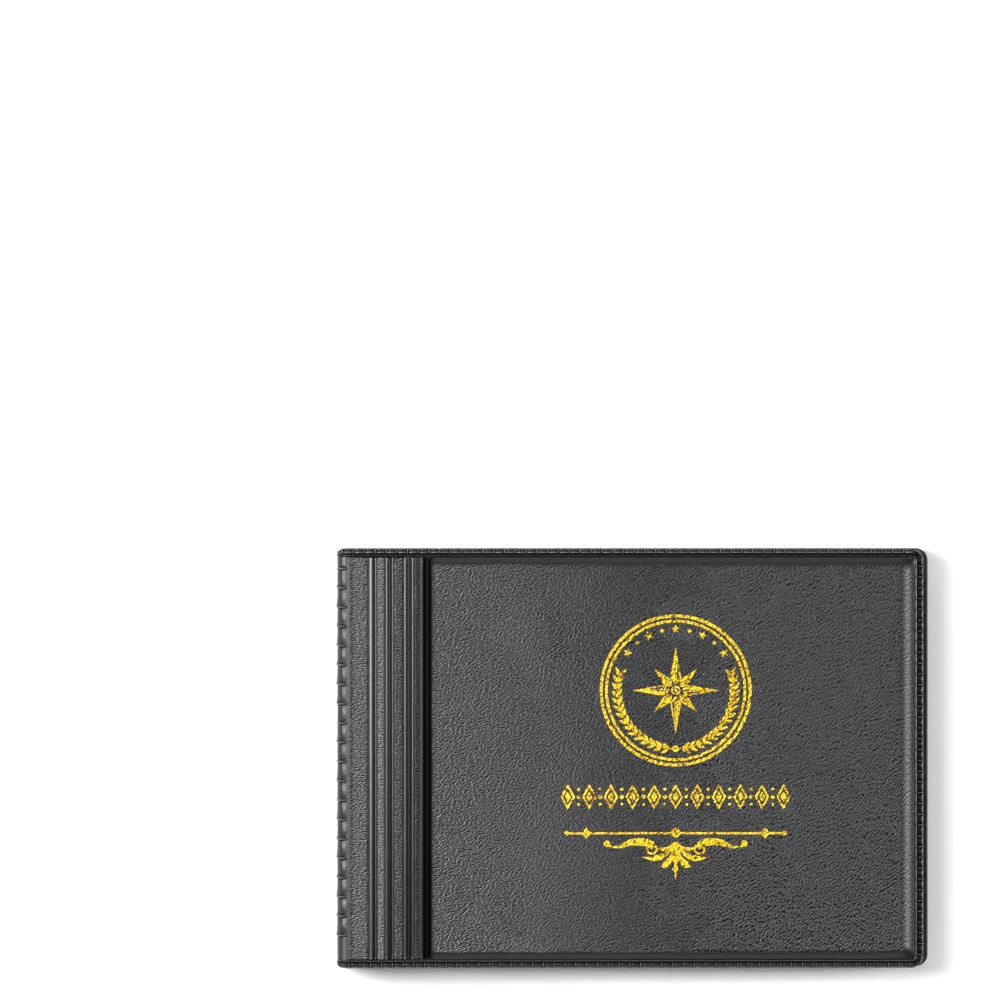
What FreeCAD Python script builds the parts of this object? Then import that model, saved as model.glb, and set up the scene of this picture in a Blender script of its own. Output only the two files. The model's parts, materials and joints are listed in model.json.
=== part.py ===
import FreeCAD
import Part

import math
import os

# Pocket album for coins: two padded vinyl covers, a ribbed spine and ten clear pages, each a sheet with
# six welded pockets. The album lies closed on its back cover.
#
# Frame, in mm: X runs from the spine to the fore-edge, Y from the tail to the head, Z up. The origin is
# the centre of the footprint. The pieces are modelled with X counted from the outer face of the spine,
# and every finished piece is then shifted so that the whole footprint is centred.

# Driving dimensions
ALBUM_LENGTH = 148.4  # tips of the spine ribs to the fore-edge of the back cover
ALBUM_HEIGHT = 105.0
SPINE_THICKNESS = 18.5  # outer face to outer face at the spine, if the covers were parallel
WEDGE = 1.5  # degrees by which the front cover falls towards the fore-edge of the empty album
FRONT_COVER_END = 146.7  # the front cover stops a little short of the back cover
FORE_CORNER_RADIUS = 3.0
SPINE_CORNER_RADIUS = 1.2

# Layers of a cover
SKIN = 0.4
FOAM = 1.6
BOARD = 1.0
LINING = 0.3
COVER = SKIN + FOAM + BOARD + LINING

# Padded panel: its foot is welded down all round, and its sides slope up to the face
PAD_START = 23.2
PAD_RIM = 2.3  # from the edge of the cover to the foot of the pad
PAD_SLOPE = 2.2
GROOVE_SLOPE = 1.0  # the side towards the spine is steeper
PAD_CORNER_RADIUS = 1.5

# Welded edge bead and embossed hinge strips
BEAD_WIDTH = 1.1
BEAD_PROUD = 0.4
BEAD_LIP = 0.4  # flat lip outside the bead
GROOVE_COUNT = 3
GROOVE_FIRST = 9.1
GROOVE_PITCH = 4.35
GROOVE_WIDTH = 2.4
GROOVE_DEPTH = 0.15
GROOVE_END_MARGIN = 2.6

# Spine: the skin rolls round both long edges, and transverse ribs are embossed on it
ROLL_RADIUS = 2.4
ROLL_SWEEP = 64.0  # degrees of the roll that stay with the spine
RIB_COUNT = 20
RIB_PITCH = 4.83
RIB_WIDTH = 0.55
RIB_PROUD = 0.3
RIB_ROW_SHIFT = 1.6  # the row of ribs sits this much nearer the head
SPINE_BOARD = 0.8
SPINE_BOARD_HALF = 51.0
SPINE_LINING_END = 2.9  # height at which the spine's lining starts and ends

# Hinges between a cover and the spine: in the middle of the skin, where the roll runs flat
HINGE_X = 1.9
HINGE_Z = FOAM + ROLL_RADIUS - math.sqrt((ROLL_RADIUS - SKIN / 2) ** 2 - (ROLL_RADIUS - HINGE_X) ** 2)

# Pages: a backing film with two strips of pocket film welded to it
PAGES = 10
PAGE_END = 143.5
PAGE_HALF = 49.5
PAGE_CORNER_RADIUS = 2.0
FILM = 0.2
FILM_SLACK = 0.05  # between backing and pocket film, where they are not welded
PAGE_GAP = 0.33  # between a page and what lies next to it at the fore-edge
LEAF_BELOW = FILM / 2
LEAF_ABOVE = FILM / 2 + FILM_SLACK + FILM
CREASE_X = 12.0  # crease of the outermost pages
CREASE_STAGGER = 0.9  # each page nearer the middle creases this much further out
CREASE_GAP = 0.3  # from the crease to the solid film on either side of it

# Pockets: three across and two up
POCKET_START = 18.5
POCKET_END = 142.5
POCKET_COLUMNS = 3
POCKET_ROWS = 2
POCKET_ROW_PITCH = 48.5
POCKET_STRIP = 47.0
POCKET_LOWEST = -49.0
WELD_WIDTH = 1.2
THUMB_RADIUS = 5.0

# Binding: the margins of the pages, with spacers between them, sit in a channel behind the spine
BINDING_END = 9.5
BINDING_WEB = 0.7
BINDING_FLANGE = 0.5
BINDING_HALF = 49.5

# Gold foil on the front cover
FOIL = 0.05
STAMP_X = 84.6
ROUNDEL_Y = 17.0
RING_RADII = ((19.0, 18.0), (17.6, 16.85))
STAR_POINTS = 8
STAR_RADIUS = 8.0
STAR_WAIST = 3.2
TITLE_Y = -9.6
TITLE_COUNT = 11
TITLE_PITCH = 5.4
TITLE_LOZENGE = (1.8, 3.2)  # half width and half height
RULE_Y = -18.7
RULE_LENGTH = 54.5
RULE_WIDTH = 0.5
RULE_LOZENGE_X = 22.4
RULE_LOZENGE = (1.3, 1.2)

# Values that follow
HALF_HEIGHT = ALBUM_HEIGHT / 2
SPINE_X = RIB_PROUD - ALBUM_LENGTH / 2
BACK_COVER_END = ALBUM_LENGTH - RIB_PROUD
COVER_SEAM = FOAM + SKIN  # height at which skin and lining meet in the back cover
FRONT_HINGE_Z = SPINE_THICKNESS - HINGE_Z
BINDING_START = SKIN + SPINE_BOARD + LINING

V = FreeCAD.Vector
ALONG_Y = V(0, 1, 0)
ALONG_Z = V(0, 0, 1)


def rounded_outline(x0, x1, half, z, spine_radius, fore_radius):
    """Closed wire round a rectangle at height z, symmetric in Y, with its four corners rounded."""
    middle = (x0 + x1) / 2
    corners = (
        (x0, -half, spine_radius, 180),
        (x1, -half, fore_radius, 270),
        (x1, half, fore_radius, 0),
        (x0, half, spine_radius, 90),
    )
    arcs = []
    for x, y, radius, start in corners:
        centre = V(x + math.copysign(radius, middle - x), y - math.copysign(radius, y), z)
        arcs.append(Part.makeCircle(radius, centre, ALONG_Z, start, start + 90))
    edges = []
    for arc, following in zip(arcs, arcs[1:] + arcs[:1]):
        edges.append(arc)
        edges.append(Part.makeLine(arc.lastVertex().Point, following.firstVertex().Point))
    return Part.Wire(edges)


def plate(x0, x1, half, z0, z1, spine_radius=SPINE_CORNER_RADIUS, fore_radius=FORE_CORNER_RADIUS):
    """Flat plate between two heights with rounded corners."""
    outline = rounded_outline(x0, x1, half, z0, spine_radius, fore_radius)
    return Part.Face(outline).extrude(V(0, 0, z1 - z0))


def block(x0, x1, half, z0, z1):
    """Square-cornered block, symmetric in Y."""
    return Part.makeBox(x1 - x0, 2 * half, z1 - z0, V(x0, -half, z0))


def pad(inset, face_z, end, half):
    """Frustum of the padded panel, from its face up to the seam, drawn in by inset on every side."""
    radius = PAD_CORNER_RADIUS
    foot = rounded_outline(PAD_START + inset, end - inset, half - inset, COVER_SEAM, radius, radius)
    face = rounded_outline(
        PAD_START + GROOVE_SLOPE + inset,
        end - PAD_SLOPE - inset,
        half - PAD_SLOPE - inset,
        face_z,
        radius,
        radius,
    )
    return Part.makeLoft([foot, face], True, True)


def edge_bead(cover_end):
    """Bead along the head, the fore-edge and the tail of a cover, open towards the spine."""
    outer = plate(
        ROLL_RADIUS, cover_end - BEAD_LIP, HALF_HEIGHT - BEAD_LIP, FOAM - BEAD_PROUD, FOAM
    )
    inner_edge = BEAD_LIP + BEAD_WIDTH
    inner = plate(
        0, cover_end - inner_edge, HALF_HEIGHT - inner_edge, FOAM - BEAD_PROUD, FOAM
    )
    return outer.cut(inner)


def hinge_grooves():
    """Shallow grooves pressed along the hinge strips, between the spine and the padded panel."""
    half = HALF_HEIGHT - GROOVE_END_MARGIN
    grooves = []
    for i in range(GROOVE_COUNT):
        start = GROOVE_FIRST + i * GROOVE_PITCH - GROOVE_WIDTH / 2
        grooves.append(block(start, start + GROOVE_WIDTH, half, FOAM - 1, FOAM + GROOVE_DEPTH))
    return Part.makeCompound(grooves)


def cover_layers(cover_end):
    """Skin, foam, board and lining of a cover that lies with its outer face down at height 0."""
    pad_end = cover_end - PAD_RIM
    pad_half = HALF_HEIGHT - PAD_RIM
    foam = pad(SKIN, SKIN, pad_end, pad_half)
    sheet = plate(ROLL_RADIUS, cover_end, HALF_HEIGHT, FOAM, COVER_SEAM)
    skin = sheet.fuse([pad(0, 0, pad_end, pad_half), edge_bead(cover_end)])
    skin = skin.cut([foam, hinge_grooves()]).removeSplitter()

    board_span = (PAD_START + SKIN, pad_end - SKIN, pad_half - SKIN)
    board_top = COVER_SEAM + BOARD
    board = plate(*board_span, COVER_SEAM, board_top, PAD_CORNER_RADIUS, PAD_CORNER_RADIUS)
    raised = plate(
        board_span[0] - LINING,
        board_span[1] + LINING,
        board_span[2] + LINING,
        COVER_SEAM,
        board_top + LINING,
        PAD_CORNER_RADIUS,
        PAD_CORNER_RADIUS,
    )
    lining = plate(ROLL_RADIUS, cover_end, HALF_HEIGHT, COVER_SEAM, COVER_SEAM + LINING)
    lining = lining.fuse(raised).cut(board).removeSplitter()
    return {"skin": skin, "foam": foam, "board": board, "lining": lining}


def to_front(shape):
    """Turns a layer of the back cover over and lays it on the page block as the front cover."""
    front = shape.mirror(V(0, 0, SPINE_THICKNESS / 2), ALONG_Z)
    return tip_forward(front, HINGE_X, FRONT_HINGE_Z, WEDGE)


def tip_forward(shape, x, z, degrees):
    """Tips a piece down towards the fore-edge about a line along Y."""
    tipped = shape.copy()
    tipped.rotate(V(x, 0, z), ALONG_Y, degrees)
    return tipped


def roll_point(depth, degrees, upper):
    """Point at a depth below the spine's outer face, this far round the lower or the upper roll."""
    reach = ROLL_RADIUS - depth
    angle = math.radians(degrees)
    z = FOAM + ROLL_RADIUS - reach * math.sin(angle)
    return V(ROLL_RADIUS - reach * math.cos(angle), 0, SPINE_THICKNESS - z if upper else z)


def spine_wall(outer_depth, inner_depth, y0, length):
    """Stretch of the spine's wall with both rolls, between two depths below its outer face."""
    edges = []
    for depth in (outer_depth, inner_depth):
        for upper in (False, True):
            points = [roll_point(depth, a, upper) for a in (0, ROLL_SWEEP / 2, ROLL_SWEEP)]
            edges.append(Part.Arc(*points).toShape())
        edges.append(Part.makeLine(roll_point(depth, 0, False), roll_point(depth, 0, True)))
    for upper in (False, True):
        ends = [roll_point(depth, ROLL_SWEEP, upper) for depth in (outer_depth, inner_depth)]
        edges.append(Part.makeLine(*ends))
    section = Part.Face(Part.Wire(Part.__sortEdges__(edges)))
    wall = section.extrude(V(0, length, 0))
    wall.translate(V(0, y0, 0))
    return wall


def ribbed_skin():
    """Skin of the spine with its row of transverse ribs."""
    wall = spine_wall(0, SKIN, -HALF_HEIGHT, ALBUM_HEIGHT)
    first = RIB_ROW_SHIFT - (RIB_COUNT - 1) * RIB_PITCH / 2 - RIB_WIDTH / 2
    ribs = []
    for i in range(RIB_COUNT):
        ribs.append(spine_wall(-RIB_PROUD, SKIN / 2, first + i * RIB_PITCH, RIB_WIDTH))
    return wall.fuse(ribs).removeSplitter()


def crease_of(page):
    """X and Z of a page's crease and its tilt at rest in degrees; page 1 is on top."""
    share = (PAGES - page) / (PAGES - 1)
    slope = share * math.tan(math.radians(WEDGE))
    lowest = COVER + PAGE_GAP + LEAF_BELOW
    highest = SPINE_THICKNESS - COVER - PAGE_GAP - LEAF_ABOVE
    x = CREASE_X + CREASE_STAGGER * min(page - 1, PAGES - page)
    z = lowest + share * (highest - lowest) - slope * (x - HINGE_X)
    return x, z, math.degrees(math.atan(slope))


def backing_film(crease_x):
    """Backing film of a page from its crease outwards, with the crease on the Y axis."""
    length = PAGE_END - crease_x
    return plate(
        CREASE_GAP, length, PAGE_HALF, -LEAF_BELOW, LEAF_BELOW, CREASE_GAP, PAGE_CORNER_RADIUS
    )


def pocket_film(crease_x):
    """Two strips of pocket film with weld lines between the pockets and a thumb notch in each."""
    start = POCKET_START - crease_x
    end = POCKET_END - crease_x
    column = (end - start - WELD_WIDTH) / POCKET_COLUMNS
    film_z = LEAF_BELOW + FILM_SLACK
    strips = []
    for row in range(POCKET_ROWS):
        low = POCKET_LOWEST + row * POCKET_ROW_PITCH
        high = low + POCKET_STRIP
        strip = Part.makeBox(end - start, POCKET_STRIP, FILM, V(start, low, film_z))
        welds = [Part.makeBox(end - start, WELD_WIDTH, FILM_SLACK, V(start, low, LEAF_BELOW))]
        notches = []
        for i in range(POCKET_COLUMNS + 1):
            x = start + i * column
            welds.append(Part.makeBox(WELD_WIDTH, POCKET_STRIP, FILM_SLACK, V(x, low, LEAF_BELOW)))
        for i in range(POCKET_COLUMNS):
            centre = V(start + WELD_WIDTH / 2 + (i + 0.5) * column, high, film_z - FILM)
            notches.append(Part.makeCylinder(THUMB_RADIUS, 3 * FILM, centre))
        strips.append(strip.fuse(welds).cut(notches).removeSplitter())
    return Part.makeCompound(strips)


def lay_page(shape, page):
    """Places a film modelled about its crease where that page lies in the closed album."""
    x, z, tilt = crease_of(page)
    placed = tip_forward(shape, 0, 0, tilt)
    placed.translate(V(x, 0, z))
    return placed


def page_margins():
    """The strips of backing film between the binding and the creases, one per page."""
    margins = []
    for page in range(1, PAGES + 1):
        x, z, _ = crease_of(page)
        start = BINDING_START + BINDING_WEB
        margins.append(block(start, x - CREASE_GAP, PAGE_HALF, z - FILM / 2, z + FILM / 2))
    return Part.makeCompound(margins)


def spacer_strips():
    """Strips between neighbouring margins that keep room for the thickness of the coins."""
    strips = []
    for page in range(1, PAGES):
        upper_z = crease_of(page)[1] - FILM / 2
        lower_z = crease_of(page + 1)[1] + FILM / 2
        strips.append(
            block(BINDING_START + BINDING_WEB, BINDING_END, BINDING_HALF, lower_z, upper_z)
        )
    return Part.makeCompound(strips)


def binding_channel():
    """Channel that holds the stack of margins and spacers against the spine."""
    low = crease_of(PAGES)[1] - FILM / 2
    high = crease_of(1)[1] + FILM / 2
    outside = block(
        BINDING_START, BINDING_END, BINDING_HALF, low - BINDING_FLANGE, high + BINDING_FLANGE
    )
    return outside.cut(block(BINDING_START + BINDING_WEB, BINDING_END, BINDING_HALF, low, high))


def foil_prism(points):
    """Closed polygon of foil on the face of the front cover."""
    corners = [V(STAMP_X + x, y, SPINE_THICKNESS) for x, y in points]
    return Part.Face(Part.makePolygon(corners + corners[:1])).extrude(V(0, 0, FOIL))


def lozenge(x, y, half_width, half_height):
    return foil_prism(
        [(x - half_width, y), (x, y - half_height), (x + half_width, y), (x, y + half_height)]
    )


def foil_stamp():
    """Roundel of two rings and a star, a row of lozenges, and a rule with a lozenge near each end."""
    centre = V(STAMP_X, ROUNDEL_Y, SPINE_THICKNESS)
    pieces = []
    for outer, inner in RING_RADII:
        ring = Part.makeCylinder(outer, FOIL, centre).cut(Part.makeCylinder(inner, FOIL, centre))
        pieces.append(ring)
    star = []
    for i in range(2 * STAR_POINTS):
        reach = STAR_WAIST if i % 2 else STAR_RADIUS
        angle = math.pi * i / STAR_POINTS
        star.append((reach * math.sin(angle), ROUNDEL_Y + reach * math.cos(angle)))
    pieces.append(foil_prism(star))
    for i in range(TITLE_COUNT):
        x = (i - (TITLE_COUNT - 1) / 2) * TITLE_PITCH
        pieces.append(lozenge(x, TITLE_Y, *TITLE_LOZENGE))
    bar_low = RULE_Y - RULE_WIDTH / 2
    bar_high = RULE_Y + RULE_WIDTH / 2
    reach = RULE_LENGTH / 2
    rule = foil_prism([(-reach, bar_low), (reach, bar_low), (reach, bar_high), (-reach, bar_high)])
    ends = [lozenge(side * RULE_LOZENGE_X, RULE_Y, *RULE_LOZENGE) for side in (-1, 1)]
    pieces.append(rule.fuse(ends).removeSplitter())
    return tip_forward(Part.makeCompound(pieces), HINGE_X, FRONT_HINGE_Z, WEDGE)


def all_pieces():
    """Every node of the album, by name."""
    pieces = {}
    for layer, shape in cover_layers(BACK_COVER_END).items():
        pieces["back_cover_" + layer] = shape
    for layer, shape in cover_layers(FRONT_COVER_END).items():
        pieces["front_cover_" + layer] = to_front(shape)
    pieces["foil_stamp"] = foil_stamp()

    board_z = (FOAM + ROLL_RADIUS, SPINE_THICKNESS - FOAM - ROLL_RADIUS)
    lining_z = (SPINE_LINING_END, SPINE_THICKNESS - SPINE_LINING_END)
    pieces["spine_skin"] = ribbed_skin()
    pieces["spine_board"] = block(SKIN, SKIN + SPINE_BOARD, SPINE_BOARD_HALF, *board_z)
    pieces["spine_lining"] = block(SKIN + SPINE_BOARD, BINDING_START, HALF_HEIGHT, *lining_z)
    pieces["binding_channel"] = binding_channel()
    pieces["spacer_strips"] = spacer_strips()
    pieces["page_margins"] = page_margins()

    for page in range(1, PAGES + 1):
        crease_x = crease_of(page)[0]
        pieces[f"page_{page:02d}_backing"] = lay_page(backing_film(crease_x), page)
        pieces[f"page_{page:02d}_pockets"] = lay_page(pocket_film(crease_x), page)
    return pieces


os.makedirs("parts", exist_ok=True)
for name, shape in all_pieces().items():
    shape.translate(V(SPINE_X, 0, 0))
    shape.exportStep(f"parts/{name}.step")
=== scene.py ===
import json
import math

import bmesh
import bpy
import numpy as np
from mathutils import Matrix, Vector
from mathutils.geometry import tessellate_polygon

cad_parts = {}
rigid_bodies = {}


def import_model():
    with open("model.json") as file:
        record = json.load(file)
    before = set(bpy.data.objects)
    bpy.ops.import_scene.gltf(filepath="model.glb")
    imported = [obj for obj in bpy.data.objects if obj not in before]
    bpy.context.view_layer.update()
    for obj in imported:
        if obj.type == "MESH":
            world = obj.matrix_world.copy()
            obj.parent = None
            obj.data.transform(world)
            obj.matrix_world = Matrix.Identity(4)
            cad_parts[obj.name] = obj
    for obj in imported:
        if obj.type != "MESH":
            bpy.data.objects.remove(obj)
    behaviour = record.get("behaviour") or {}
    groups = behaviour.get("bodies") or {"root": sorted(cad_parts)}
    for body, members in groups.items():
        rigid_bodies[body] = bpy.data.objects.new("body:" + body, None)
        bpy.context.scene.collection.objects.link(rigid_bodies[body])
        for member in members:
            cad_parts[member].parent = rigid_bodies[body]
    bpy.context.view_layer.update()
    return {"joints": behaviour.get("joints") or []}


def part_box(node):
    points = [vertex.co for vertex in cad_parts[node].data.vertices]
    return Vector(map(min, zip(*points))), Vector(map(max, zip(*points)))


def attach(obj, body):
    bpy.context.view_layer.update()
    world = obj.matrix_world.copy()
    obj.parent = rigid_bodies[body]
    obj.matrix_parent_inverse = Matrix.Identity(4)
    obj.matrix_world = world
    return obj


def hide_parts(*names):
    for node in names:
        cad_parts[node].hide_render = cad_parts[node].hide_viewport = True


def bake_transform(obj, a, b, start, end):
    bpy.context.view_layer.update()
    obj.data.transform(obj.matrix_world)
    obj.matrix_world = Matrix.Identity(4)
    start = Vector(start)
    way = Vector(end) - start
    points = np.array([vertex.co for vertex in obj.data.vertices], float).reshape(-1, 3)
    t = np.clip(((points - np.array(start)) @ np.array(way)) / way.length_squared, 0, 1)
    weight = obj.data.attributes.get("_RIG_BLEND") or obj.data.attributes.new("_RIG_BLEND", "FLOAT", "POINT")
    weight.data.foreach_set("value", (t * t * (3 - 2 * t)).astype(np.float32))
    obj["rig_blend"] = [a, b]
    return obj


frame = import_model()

# A padded vinyl coin album, closed, lying on its back cover.
#
# All shapes are worked out in millimetres. A cover is described as a developed sheet: s runs from the middle
# of the spine round the roll and out along the cover, y from tail to head, and h is the height above the
# strip-level outer face. s equals the distance from the spine's outer face wherever the cover is flat.
# Everything is shaped as the back cover, outer face down; the front cover is its mirror image.
MM = 0.001

# ---------------- driving dimensions, mm
SKIN = 0.4
FOAM = 1.6
LINING = 0.3
ROLL = 2.4  # bending radius of the two rolls
CORNER = 3.0
BACK_BEYOND = 1.4  # how far the back cover reaches past the front cover

joints = {joint["name"]: joint for joint in frame["joints"]}
hinge_back = Vector(joints["spine_hinge"]["pos_m"]) / MM
hinge_front = Vector(joints["front_cover_hinge"]["pos_m"]) / MM
THICKNESS = hinge_back.z + hinge_front.z
WEDGE = math.radians(joints["front_cover_hinge"]["range_deg"][1] - 90)
SPINE_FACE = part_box("spine_board")[0].x / MM - SKIN
HINGE_U = hinge_back.x - SPINE_FACE
BACK_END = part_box("back_cover_skin")[1].x / MM - SPINE_FACE
FRONT_END = BACK_END - BACK_BEYOND
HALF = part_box("back_cover_skin")[1].y / MM
ARC = CORNER * math.pi / 2
SIDE = HALF - CORNER
WALL_START = ROLL - ROLL * math.pi / 2  # s where the flat of the spine ends and the roll starts
MIDDLE = WALL_START - (THICKNESS / 2 - FOAM - ROLL)  # s at the middle of the spine

# groove and padded panel: where they start, how wide their slopes are, and how far the panel is crowned
GROOVE_START = 20.8
GROOVE_DEPTH = 0.3
WALL_FOOT = 22.6
WALL_WIDTH = 0.95
PAD_FOOT = 2.1
PAD_SLOPE = 2.0
FORE_FOOT = 2.1
FORE_SLOPE = 5.7
PAD_CROWN = 0.2
STITCH_PITCH = 2.7
RIB_COUNT = 20
RIB_PITCH = 4.83
RIB_SHIFT = 1.6
RIB_HEIGHT = 0.3
RIB_CENTRES = [RIB_SHIFT + (i - (RIB_COUNT - 1) / 2) * RIB_PITCH for i in range(RIB_COUNT)]
HUMP_HEIGHT = 1.35
# hinge strips: grained stretches (start, end); ridges (middle, half width, height); sunk channels
# (start, end, depth); and how much painted shade a stretch gets, or a painted highlight where the shade is
# negative
STRIPS = ((2.9, 7.9), (10.0, 12.2), (14.1, 16.7), (19.2, 20.9))
RIDGES = (
    (8.35, 0.46, 0.26),
    (9.6, 0.17, 0.22),
    (12.35, 0.26, 0.26),
    (13.8, 0.17, 0.22),
    (16.95, 0.3, 0.26),
    (18.8, 0.22, 0.22),
)
CHANNELS = ((12.7, 13.6, 0.3), (17.3, 18.55, 0.3))
STRIP_SHADES = ((3.6, 7.9, -0.12), (10.0, 12.2, -0.33), (14.1, 16.7, -0.01))


# ---------------- small maths
def smooth(x):
    """Soft step from 0 to 1."""
    x = np.clip(x, 0.0, 1.0)
    return x * x * (3 - 2 * x)


def bump(x, width):
    """Rounded hill of height 1 round x = 0."""
    return np.exp(-((x / width) ** 2))


def between(x, low, high, rise, fall):
    """1 between two places, with soft slopes of these widths inside them."""
    return smooth((x - low) / rise) * smooth((high - x) / fall)


def soft_min(a, b, blend):
    """The smaller of two heights, rounded where they cross."""
    mix = np.maximum(blend - np.abs(a - b), 0) / blend
    return np.minimum(a, b) - mix * mix * blend / 4


def spaced(*stretches):
    """Sorted line positions from (start, end, number of steps) stretches."""
    parts = [np.linspace(start, end, steps + 1) for start, end, steps in stretches]
    return np.unique(np.round(np.concatenate(parts), 4))


def around(centres, offsets):
    """The same offsets round every centre."""
    return np.concatenate([np.asarray(offsets) + centre for centre in centres])


def stitch_lines(first, beyond, offsets):
    """Lines round the imitation stitches number first up to the one before beyond."""
    return around((np.arange(first, beyond) + 0.5) * STITCH_PITCH, offsets)


def merge_lines(low, high, *groups):
    """All lines between low and high, without any that nearly coincide."""
    closest = 0.04
    lines = np.unique(np.round(np.concatenate([np.asarray(g, float) for g in groups]), 4))
    lines = lines[(lines > low + closest) & (lines < high - closest)]
    kept = [low]
    for line in lines:
        if line - kept[-1] > closest:
            kept.append(line)
    return np.array(kept + [high])


def crossed(a, b):
    """The two coordinates of every crossing of two sets of lines."""
    return np.meshgrid(a, b, indexing="ij")


def from_stitch(q):
    """Signed distance from the nearest imitation stitch."""
    return ((q / STITCH_PITCH) % 1.0 - 0.5) * STITCH_PITCH


# ---------------- the sheet and where it lies
class Cover:
    """One cover with its half of the spine."""

    def __init__(self, end, front):
        self.end = end
        self.corner = end - CORNER
        self.half_way = self.corner + ARC + SIDE
        self.front = front

    def place(self, s, y, h):
        """Points of the sheet in the row frame, in mm."""
        s, y, h = np.broadcast_arrays(*(np.asarray(v, float) for v in (s, y, h)))
        turn = np.clip((ROLL - s) / ROLL, 0, math.pi / 2)
        # the corners are rounded: square rings round the corner's centre become circles
        a, b = s - self.corner, np.abs(y) - SIDE
        inside = (a > 1e-6) & (b > 1e-6)
        reach = np.maximum(a, b)
        with np.errstate(divide="ignore", invalid="ignore"):
            angle = np.where(b >= a, a / b, 2 - b / a) * math.pi / 4
        along = np.where(inside, self.corner + reach * np.sin(angle), s)
        across = np.where(inside, SIDE + reach * np.cos(angle), np.abs(y))
        # the ends of the spine are drawn in a little
        pulled = 0.7 * smooth((1.6 - s) / 3.2) * smooth((across - 46) / 6)
        across = np.where(y < 0, -1, 1) * (across - pulled)
        u = ROLL - ROLL * np.sin(turn) + np.maximum(along - ROLL, 0) - h * np.sin(turn)
        z = FOAM + ROLL * (1 - np.cos(turn)) + np.maximum(WALL_START - s, 0) - h * np.cos(turn)
        if self.front:
            z = THICKNESS - z
            tilt = WEDGE * smooth(1 - turn / (math.pi / 2))
            du, dz = u - HINGE_U, z - hinge_front.z
            u = HINGE_U + du * np.cos(tilt) + dz * np.sin(tilt)
            z = hinge_front.z - du * np.sin(tilt) + dz * np.cos(tilt)
        return np.stack([u + SPINE_FACE, across, z], -1)

    def sheet(self, s, y):
        """Coordinates on the uncut vinyl, which runs on from the front cover round the spine to the back."""
        on_sheet = s if self.front else 2 * MIDDLE - s
        return np.stack([on_sheet, y, np.zeros_like(y)], -1).reshape(-1, 3)


def perimeter(cover, s, y):
    """Distance along the edge of a cover from the middle of the spine, head side first."""
    a, b = s - cover.corner, abs(y) - SIDE
    if a <= 1e-6:
        q = s
    elif b <= 1e-6:
        q = cover.half_way - abs(y)
    else:
        q = cover.corner + ARC * (a / b / 2 if b >= a else 1 - b / a / 2)
    return q if y >= 0 else 2 * cover.half_way - q


# ---------------- mesh building
def new_object(name, points, faces, attributes=None, smooth_shading=True):
    """Mesh object from points in mm and lists of corner indices."""
    mesh = bpy.data.meshes.new(name)
    mesh.from_pydata([tuple(p) for p in np.asarray(points) * MM], [], faces)
    for key, values in (attributes or {}).items():
        values = np.asarray(values, np.float32)
        kind = "FLOAT" if values.ndim == 1 else "FLOAT_VECTOR"
        attribute = mesh.attributes.new(key, kind, "POINT")
        attribute.data.foreach_set("value" if values.ndim == 1 else "vector", values.ravel())
    work = bmesh.new()
    work.from_mesh(mesh)
    bmesh.ops.recalc_face_normals(work, faces=work.faces)
    work.to_mesh(mesh)
    work.free()
    if smooth_shading:
        mesh.shade_smooth()
        mesh.set_sharp_from_angle(angle=math.radians(75))
    mesh.update()
    thing = bpy.data.objects.new(name, mesh)
    bpy.context.scene.collection.objects.link(thing)
    return thing


def quads(index):
    """Quads between the rows and columns of an array of point numbers."""
    a, b, c, d = index[:-1, :-1], index[1:, :-1], index[1:, 1:], index[:-1, 1:]
    return np.stack([a.ravel(), b.ravel(), c.ravel(), d.ravel()], -1).tolist()


def plate(upper, lower):
    """Faces of the two sides of a plate and of its four edges."""
    faces = quads(upper) + quads(lower[:, ::-1])
    for edge in ((0,), (-1,), (slice(None), 0), (slice(None), -1)):
        faces += quads(np.stack([upper[edge], lower[edge]]))
    return faces


class Builder:
    """Collects points with their sheet coordinates and the faces between them."""

    def __init__(self, cover):
        self.cover = cover
        self.points = []
        # the third attribute holds painted shade where it is positive and a painted highlight where it is
        # negative
        self.attributes = {"sheet": [], "grain": [], "painted_shading": []}
        self.faces = []
        self.count = 0

    def add(self, s, y, h, grain=0.0, painted_shading=0.0):
        """Adds points and returns their indices, in the shape of the arrays."""
        s, y, h, grain, painted_shading = np.broadcast_arrays(*(np.asarray(v, float) for v in (s, y, h, grain, painted_shading)))
        self.points.append(self.cover.place(s, y, h).reshape(-1, 3))
        self.attributes["sheet"].append(self.cover.sheet(s, y))
        self.attributes["grain"].append(grain.ravel())
        self.attributes["painted_shading"].append(painted_shading.ravel())
        index = np.arange(self.count, self.count + s.size).reshape(s.shape)
        self.count += s.size
        return index

    def surface(self, s, y, h, grain=0.0, painted_shading=0.0):
        """Adds a grid of points with quads between them and returns their indices."""
        index = self.add(s, y, h, grain, painted_shading)
        self.faces += quads(index)
        return index

    def border(self, index, s_lines, y_lines):
        """The outline of a grid except on the spine, from head to tail, and how far along the edge it is."""
        outline = [(s, y_lines[-1]) for s in s_lines]
        outline += [(s_lines[-1], y) for y in y_lines[-2:0:-1]]
        outline += [(s, y_lines[0]) for s in s_lines[::-1]]
        line = np.concatenate([index[:, -1], index[-1, -2:0:-1], index[::-1, 0]])
        return line, [perimeter(self.cover, s, y) for s, y in outline]

    def zip(self, left, left_at, right, right_at):
        """Triangles between two lines of points, matched by how far along each point is."""
        i = j = 0
        while i < len(left) - 1 or j < len(right) - 1:
            right_done = j == len(right) - 1
            left_next = i < len(left) - 1 and (right_done or left_at[i + 1] <= right_at[j + 1])
            if left_next:
                self.faces.append([int(left[i]), int(left[i + 1]), int(right[j])])
                i += 1
            else:
                self.faces.append([int(left[i]), int(right[j + 1]), int(right[j])])
                j += 1

    def finish(self, name):
        """The object made of everything added."""
        joined = {key: np.concatenate(values) for key, values in self.attributes.items()}
        return new_object(name, np.concatenate(self.points), self.faces, joined)


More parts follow.
